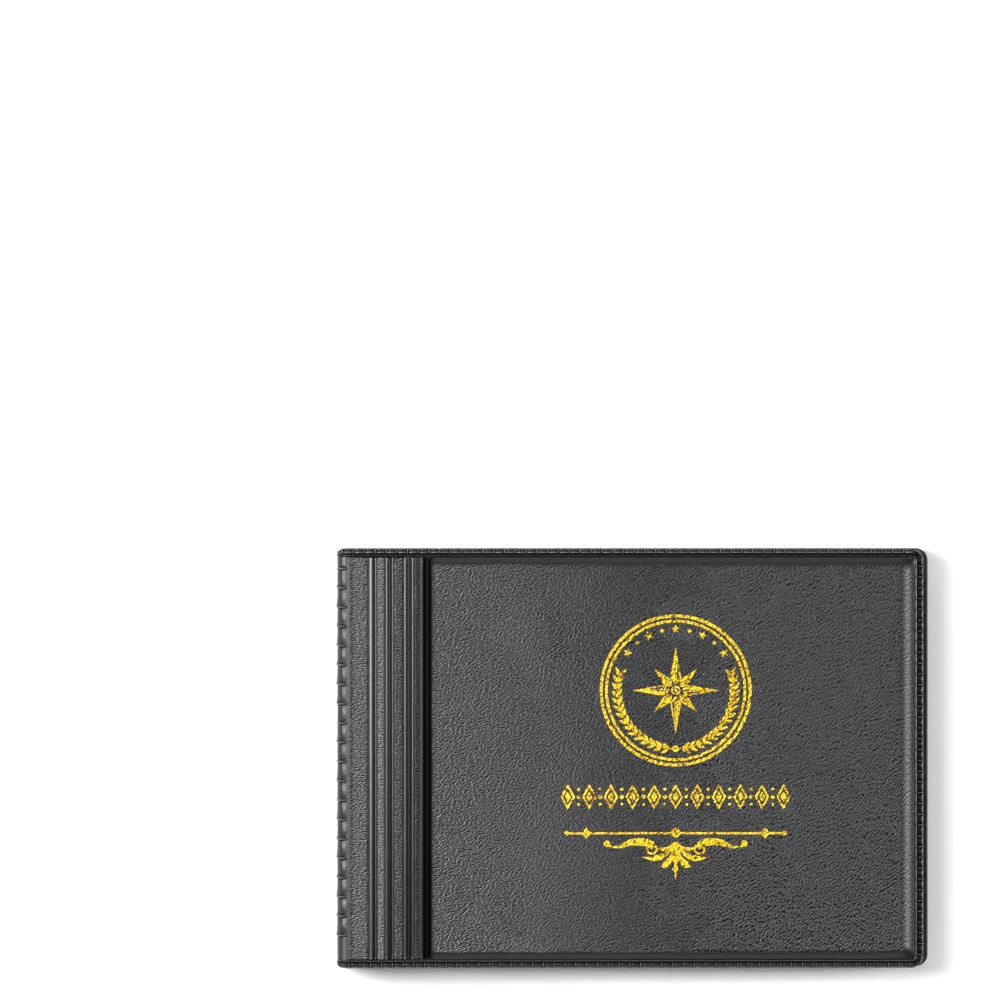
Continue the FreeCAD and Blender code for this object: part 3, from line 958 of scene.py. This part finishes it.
class Nodes:
    """Shorthand for wiring a material."""

    def __init__(self, tree, surface):
        self.tree = tree
        self.surface = surface

    def add(self, kind, inputs=None, **settings):
        """A new node; inputs are values or sockets by number or name."""
        node = self.tree.nodes.new(kind)
        for key, value in settings.items():
            setattr(node, key, value)
        for key, value in (inputs or {}).items():
            if isinstance(value, bpy.types.NodeSocket):
                self.tree.links.new(value, node.inputs[key])
            else:
                node.inputs[key].default_value = value
        return node

    def attribute(self, name, output):
        """What the mesh code stored with the points."""
        return self.add("ShaderNodeAttribute", attribute_name=name).outputs[output]

    def object_place(self):
        return self.add("ShaderNodeTexCoord").outputs["Object"]

    def maths(self, operation, a, b=0.0, clamp=False):
        return self.add("ShaderNodeMath", {0: a, 1: b}, operation=operation, use_clamp=clamp).outputs[0]

    def times(self, a, b, clamp=False):
        return self.maths("MULTIPLY", a, b, clamp)

    def mix(self, share, a, b):
        """Number between a, where the share is 0, and b."""
        return self.add("ShaderNodeMix", {0: share, 2: a, 3: b}, data_type="FLOAT").outputs[0]

    def colours(self, share, a, b):
        """Colour between a, where the share is 0, and b."""
        return self.add("ShaderNodeMix", {0: share, 6: a, 7: b}, data_type="RGBA").outputs[2]

    def ramp(self, value, low, high, start=0.0, end=1.0):
        """Soft step of a value from start to end."""
        inputs = {"Value": value, "From Min": low, "From Max": high, "To Min": start, "To Max": end}
        return self.add("ShaderNodeMapRange", inputs, interpolation_type="SMOOTHSTEP").outputs[0]

    def noise(self, vector, scale, detail=2.0, roughness=0.5, distortion=0.0, kind="FBM"):
        inputs = {"Vector": vector, "Scale": scale, "Detail": detail, "Roughness": roughness}
        return self.add("ShaderNodeTexNoise", inputs | {"Distortion": distortion}, noise_type=kind).outputs[0]

    def turned(self, vector, degrees, along, across):
        """Coordinates turned in the plane and stretched, so a pattern runs at this angle."""
        turned = self.add("ShaderNodeMapping", {"Vector": vector, "Rotation": (0, 0, -math.radians(degrees))})
        scaled = self.add("ShaderNodeMapping", {"Vector": turned.outputs[0], "Scale": (along, across, 1)})
        return scaled.outputs[0]

    def warp(self, vector, scale, amount):
        """The coordinates shifted about by soft noise."""
        noise = self.add("ShaderNodeTexNoise", {"Vector": vector, "Scale": scale, "Detail": 1.0})
        middle = {0: noise.outputs["Color"], 1: (0.5, 0.5, 0.5)}
        centred = self.add("ShaderNodeVectorMath", middle, operation="SUBTRACT")
        shift = self.add("ShaderNodeVectorMath", {0: centred.outputs[0], "Scale": amount}, operation="SCALE")
        return self.add("ShaderNodeVectorMath", {0: vector, 1: shift.outputs[0]}).outputs[0]

    def pebbles(self, vector):
        """Rounded cells with narrow valleys between them, 0 to 1 high."""
        inputs = {"Vector": vector, "Scale": 1.0, "Randomness": 0.95}
        cells = self.add("ShaderNodeTexVoronoi", inputs, feature="F1", voronoi_dimensions="2D")
        return self.ramp(cells.outputs["Distance"], 0.02, 0.8, 1.0, 0.0)

    def link(self, value, socket):
        """Sends a value to a socket of the surface."""
        self.tree.links.new(value, self.surface.inputs[socket])

    def bump(self, height, distance, strength=1.0, normal=None):
        """Normals of a relief; the distance is its depth in metres."""
        inputs = {"Height": height, "Distance": distance, "Strength": strength}
        if normal is not None:
            inputs["Normal"] = normal
        return self.add("ShaderNodeBump", inputs).outputs[0]


def tint(red, green, blue):
    """An opaque colour, linear."""
    return (red, green, blue, 1)


def grain_rows(n, place, s_at, drift):
    """Height of the grain, whose rows turn step by step from the spine to the fore-edge."""
    grains = n.pebbles(n.turned(place, 4, 1.3, 3.2))
    for where, start, degrees in ((s_at, WALL_FOOT + 2, 24), (drift, 48.0, 40), (drift, 84.0, 60)):
        here = n.pebbles(n.turned(place, degrees, 1.15, 2.9))
        grains = n.mix(n.ramp(where, start, start + 1.0), grains, here)
    return grains


def grained_vinyl():
    """Black embossed vinyl: a pebbled grain that flows over the cover, smooth where it is pressed."""
    made, n = material("grained_vinyl", Roughness=0.42)
    grain_depth = 0.11 * MM
    place = n.attribute("sheet", "Vector")
    grain = n.attribute("grain", "Fac")
    painted_shading = n.attribute("painted_shading", "Fac")
    # painted shade where the painted shading is positive: near-black colour and a low specular level
    dark = n.maths("ADD", painted_shading, 0.0, clamp=True)
    warped = n.warp(place, 0.4, 0.35)
    s_at = n.add("ShaderNodeSeparateXYZ", {0: place}).outputs[0]
    drift = n.maths("ADD", s_at, n.ramp(n.noise(place, 0.05, 2.0), 0.3, 0.7, -11.0, 11.0))
    # comparing the grain with itself a little nearer the light tells its lit sides from the others: the lit
    # sides get a painted highlight, the others painted shade
    towards_light = n.add("ShaderNodeVectorMath", {0: warped, 1: (-0.05, 0.09, 0.0)}).outputs[0]
    grains, beyond = (grain_rows(n, at, s_at, drift) for at in (warped, towards_light))
    lit = n.ramp(n.maths("SUBTRACT", grains, beyond), -0.14, 0.26)
    folds = n.ramp(n.noise(n.turned(warped, 48, 0.6, 1.3), 1.0, distortion=0.3), 0.35, 0.65)
    # painted shade: the lit colour of the grain darkens away from the spine
    painted_falloff = n.ramp(s_at, 28.0, 84.0, 1.0, 0.3)
    creases = n.noise(n.turned(warped, 58, 0.14, 0.55), 1.0, distortion=0.3, kind="RIDGED_MULTIFRACTAL")
    creases = n.times(n.ramp(creases, 1.0, 1.5), n.ramp(drift, 50.0, 90.0))
    height = n.maths("ADD", grains, n.times(folds, 0.3))
    height = n.maths("SUBTRACT", height, n.times(creases, 0.3))
    height = n.times(n.times(height, grain), n.ramp(painted_falloff, 0.3, 1.0, 1.1, 1.0))
    fine = n.noise(place, 9.0)
    normal = n.bump(height, grain_depth, 1.0, n.bump(fine, 0.000005, 0.6))
    n.link(normal, "Normal")
    # painted light on the grain: lit sides in the lighter colour, shaded sides near black
    painted_lit_colour = n.colours(painted_falloff, tint(0.0, 0.0, 0.0), tint(0.042, 0.0422, 0.049))
    painted_relief = n.colours(lit, tint(0.001, 0.001, 0.0012), painted_lit_colour)
    colour = n.colours(grain, tint(0.006, 0.0061, 0.007), painted_relief)
    # painted shade
    colour = n.colours(dark, colour, tint(0.0012, 0.0012, 0.0013))
    # painted highlight where the painted shading is negative, mostly on the lit sides of the grain
    painted_highlight = n.times(n.times(painted_shading, -1.0), n.mix(grain, 1.0, n.times(lit, 2.0)), clamp=True)
    colour = n.colours(painted_highlight, colour, tint(0.2, 0.2, 0.208))
    n.link(colour, "Base Color")
    gloss = n.mix(grain, n.ramp(fine, 0.2, 0.8, 0.21, 0.28), n.ramp(grains, 0.0, 1.0, 0.36, 0.24))
    gloss = n.mix(n.ramp(s_at, 2.4, 3.6), n.ramp(fine, 0.2, 0.8, 0.34, 0.42), gloss)
    n.link(gloss, "Roughness")
    # the specular level follows the painted light: lower on the shaded sides of the grain and in painted
    # shade
    shine = n.mix(grain, 0.5, n.mix(lit, 0.04, n.ramp(painted_falloff, 0.3, 1.0, 0.62, 0.9)))
    n.link(n.mix(dark, shine, 0.04), "Specular IOR Level")
    return made


def gold_foil():
    """Stamped gold film, broken up by the grain it is pressed on to."""
    made, n = material("gold_foil", Roughness=0.3, Metallic=0.84, Specular_IOR_Level=0.6)
    place = n.attribute("sheet", "Vector")
    grains = n.pebbles(n.turned(n.warp(place, 0.5, 0.5), 45, 1.05, 2.4))
    speck = n.noise(place, 3.0)
    gold = n.colours(n.ramp(speck, 0.4, 0.6), tint(0.36, 0.2, 0.001), tint(0.95, 0.68, 0.018))
    gold = n.colours(n.ramp(grains, 0.15, 0.5), tint(0.13, 0.07, 0.002), gold)
    n.link(gold, "Base Color")
    n.link(n.ramp(n.noise(place, 0.6, 3.0), 0.2, 0.8, 0.24, 0.4), "Roughness")
    n.link(n.bump(grains, 0.00012, 1.0, n.bump(n.noise(place, 7.0), 0.00001, 0.7)), "Normal")
    return made


def lining_vinyl():
    """Thin black inner vinyl with a fine matt grain."""
    made, n = material("lining_vinyl")
    place = n.attribute("sheet", "Vector")
    cells = n.pebbles(n.turned(n.warp(place, 0.8, 0.3), 20, 3.2, 4.0))
    cloud = n.noise(place, 0.12, 3.0)
    dark = n.colours(cloud, tint(0.008, 0.008, 0.0085), tint(0.014, 0.014, 0.015))
    n.link(n.colours(n.ramp(cells, 0.0, 0.5), tint(0.004, 0.004, 0.0045), dark), "Base Color")
    n.link(n.ramp(cloud, 0.3, 0.7, 0.3, 0.42), "Roughness")
    n.link(n.bump(cells, 0.00003), "Normal")
    return made


def foam():
    """Cream polyurethane foam with open cells."""
    made, n = material("foam", Roughness=0.95, Specular_IOR_Level=0.2)
    place = n.object_place()
    cells = n.add("ShaderNodeTexVoronoi", {"Vector": place, "Scale": 2600.0}).outputs["Distance"]
    cloud = n.noise(place, 60.0, 3.0)
    cream = n.colours(cloud, tint(0.62, 0.55, 0.4), tint(0.74, 0.68, 0.52))
    n.link(n.colours(n.ramp(cells, 0.1, 0.5), cream, tint(0.3, 0.26, 0.18)), "Base Color")
    n.link(n.bump(cells, 0.0002), "Normal")
    return made


def board(name, dark, light, fibre):
    """Pressed grey board: matted fibres, darker flecks and a slightly rough face."""
    made, n = material(name, Roughness=0.85, Specular_IOR_Level=0.25)
    place = n.object_place()
    fibres = n.noise(n.turned(place, 20, 700.0, 2600.0), 1.0, 4.0, 0.6, 1.0)
    flecks = n.noise(place, 900.0, 3.0)
    tone = n.colours(n.ramp(fibres, 0.3, 0.7), dark, light)
    n.link(n.colours(n.ramp(flecks, 0.62, 0.7), tone, fibre), "Base Color")
    n.link(n.ramp(fibres, 0.3, 0.7, 0.75, 0.95), "Roughness")
    n.link(n.bump(fibres, 0.00006), "Normal")
    return made


def binding_plastic():
    """Black moulded plastic with a fine spark-eroded texture and faint draw lines."""
    made, n = material("binding_plastic", Roughness=0.45)
    place = n.object_place()
    texture = n.noise(place, 3500.0)
    lines = n.noise(n.turned(place, 90, 30.0, 1800.0), 1.0)
    black = n.colours(n.ramp(lines, 0.3, 0.7), tint(0.010, 0.010, 0.011), tint(0.02, 0.02, 0.022))
    n.link(black, "Base Color")
    n.link(n.ramp(texture, 0.3, 0.7, 0.36, 0.55), "Roughness")
    n.link(n.bump(texture, 0.00003, 0.8), "Normal")
    return made


def page_film(name, welded):
    """Clear soft PVC: glossy, a little hazy, faintly wavy; the pocket film has knurled white welds."""
    made, n = material(name, Roughness=0.12, Alpha=0.12, Specular_IOR_Level=0.7)
    place = n.object_place()
    haze = n.noise(place, 70.0, 3.0)
    waves = n.noise(n.turned(place, 8, 22.0, 60.0), 1.0, 2.0, 0.4, 0.6)
    scuffs = n.noise(n.turned(place, 35, 60.0, 2600.0), 1.0, 3.0)
    shade = n.colours(haze, tint(0.50, 0.56, 0.58), tint(0.62, 0.67, 0.69))
    alpha = n.ramp(haze, 0.3, 0.7, 0.09, 0.14)
    height = n.times(waves, 0.0008)
    if welded:
        parts = n.add("ShaderNodeSeparateXYZ", {0: place})
        columns = n.maths("SUBTRACT", parts.outputs[0], POCKET_FIRST * MM)
        columns = n.maths("DIVIDE", columns, POCKET_PITCH * MM)
        off = n.maths("ABSOLUTE", n.maths("SUBTRACT", columns, n.maths("ROUND", columns)))
        lines = n.maths("LESS_THAN", off, 0.6 / POCKET_PITCH)
        for low in POCKET_ROWS:
            above = n.maths("GREATER_THAN", parts.outputs[1], (low - 1) * MM)
            below = n.maths("LESS_THAN", parts.outputs[1], (low + 1.2) * MM)
            lines = n.maths("MAXIMUM", lines, n.times(above, below))
        checks = {"Vector": n.turned(place, 45, 1.0, 1.0), "Scale": 2500.0}
        knurl = n.add("ShaderNodeTexChecker", checks).outputs["Fac"]
        shade = n.colours(lines, shade, tint(0.78, 0.81, 0.82))
        alpha = n.mix(lines, alpha, 0.55)
        height = n.maths("ADD", height, n.times(n.times(knurl, lines), 0.00006))
    n.link(shade, "Base Color")
    n.link(n.ramp(scuffs, 0.55, 0.75, 0.1, 0.3), "Roughness")
    n.link(alpha, "Alpha")
    n.link(n.bump(height, 1.0, 0.6), "Normal")
    return made


def give(thing, made):
    """Makes this the only material of an object."""
    thing.data.materials.clear()
    thing.data.materials.append(made)


vinyl = grained_vinyl()
for thing in (front_vinyl, back_vinyl):
    give(thing, vinyl)
inner_vinyl = lining_vinyl()
for thing in (front_lining, back_lining):
    give(thing, inner_vinyl)
pad_foam = foam()
for thing, body in ((front_foam, "front_cover"), (back_foam, "back_cover")):
    give(thing, pad_foam)
    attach(thing, body)
    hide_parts(body + "_foam")
film_pvc = page_film("page_film", False)
pocket_pvc = page_film("pocket_film", True)
for page, thing in enumerate(page_sheets, 1):
    give(thing, film_pvc)
    at = crease(page)[0]
    start, end = at - CREASE_REACH, at + CREASE_REACH
    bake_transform(thing, "spine", f"page_{page:02d}", start=tuple(start * MM), end=tuple(end * MM))
    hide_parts(f"page_{page:02d}_backing")
    give(bpy.data.objects[f"page_{page:02d}_pockets"], pocket_pvc)
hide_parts("page_margins")
grey_board = board("board", tint(0.30, 0.27, 0.23), tint(0.42, 0.39, 0.33), tint(0.16, 0.14, 0.12))
black_board = board("spacer_board", tint(0.012, 0.012, 0.012), tint(0.03, 0.03, 0.03), tint(0.08, 0.08, 0.08))
for node in ("front_cover_board", "back_cover_board", "spine_board"):
    give(bpy.data.objects[node], grey_board)
give(bpy.data.objects["spacer_strips"], black_board)
give(bpy.data.objects["binding_channel"], binding_plastic())
give(front_stamp, gold_foil())
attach(front_stamp, "front_cover")
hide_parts("foil_stamp")
wall, flat = roll_ends(front)
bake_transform(front_vinyl, "spine", "front_cover", start=wall, end=flat)
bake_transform(front_lining, "spine", "front_cover", start=wall, end=flat)
wall, flat = roll_ends(back)
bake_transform(back_vinyl, "back_cover", "spine", start=flat, end=wall)
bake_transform(back_lining, "back_cover", "spine", start=flat, end=wall)
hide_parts("front_cover_skin", "spine_skin")
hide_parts("back_cover_skin")
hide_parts("front_cover_lining", "spine_lining")
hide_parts("back_cover_lining")


# ---------------- floor, light and camera
FLOOR_REACH = 3000
FLOOR_LEVEL = -0.2
CAMERA_PLACE = (-0.0332, 0.0646, 3.0165)
LENS = 432
# name, place and target in metres, width and height in metres, watts
SOFT_BOXES = (
    ("left_box", (-0.32, 0.08, 0.48), (-0.05, 0, 0), (0.2, 0.42), 5.0),
    ("right_box", (0.56, 0.03, 0.44), (0.05, 0, 0), (0.14, 0.5), 2.6),
    ("head_box", (0.0, 0.62, 0.8), (0, 0, 0), (0.7, 0.12), 2.6),
    ("front_box", (0.0, -0.6, 0.9), (0, 0, 0), (0.7, 0.3), 1.0),
)


def area_light(name, place, target, size, power):
    """Soft box that faces its target and is not seen itself."""
    lamp = bpy.data.lights.new(name, "AREA")
    lamp.shape = "RECTANGLE"
    lamp.size, lamp.size_y = size
    lamp.energy = power
    thing = bpy.data.objects.new(name, lamp)
    thing.location = place
    thing.rotation_euler = (Vector(target) - Vector(place)).to_track_quat("-Z", "Y").to_euler()
    thing.visible_camera = False
    bpy.context.scene.collection.objects.link(thing)


def studio():
    """White paper floor, a bright sky that is darker overhead, and the soft boxes."""
    corners = ((-1, -1), (1, -1), (1, 1), (-1, 1))
    points = [(x * FLOOR_REACH, y * FLOOR_REACH, FLOOR_LEVEL) for x, y in corners]
    floor = new_object("floor", points, [[0, 1, 2, 3]])
    give(floor, material("floor_paper", Roughness=0.9, Base_Color=tint(0.86, 0.86, 0.86))[0])
    world = bpy.data.worlds.new("studio")
    bpy.context.scene.world = world
    world.use_nodes = True
    tree = world.node_tree
    n = Nodes(tree, None)
    direction = n.add("ShaderNodeTexCoord").outputs["Generated"]
    up = n.add("ShaderNodeSeparateXYZ", {0: direction}).outputs[2]
    tree.links.new(n.ramp(up, 0.1, 0.75, 0.95, 0.06), tree.nodes["Background"].inputs["Strength"])
    tree.nodes["Background"].inputs["Color"].default_value = (1, 1, 1, 1)
    for box in SOFT_BOXES:
        area_light(*box)


def camera():
    """Long lens straight above, as in the photo."""
    data = bpy.data.cameras.new("camera")
    data.lens = LENS
    data.clip_end = 20
    thing = bpy.data.objects.new("camera", data)
    thing.location = CAMERA_PLACE
    bpy.context.scene.collection.objects.link(thing)
    bpy.context.scene.camera = thing


studio()
camera()
bpy.context.scene.view_settings.view_transform = "Standard"
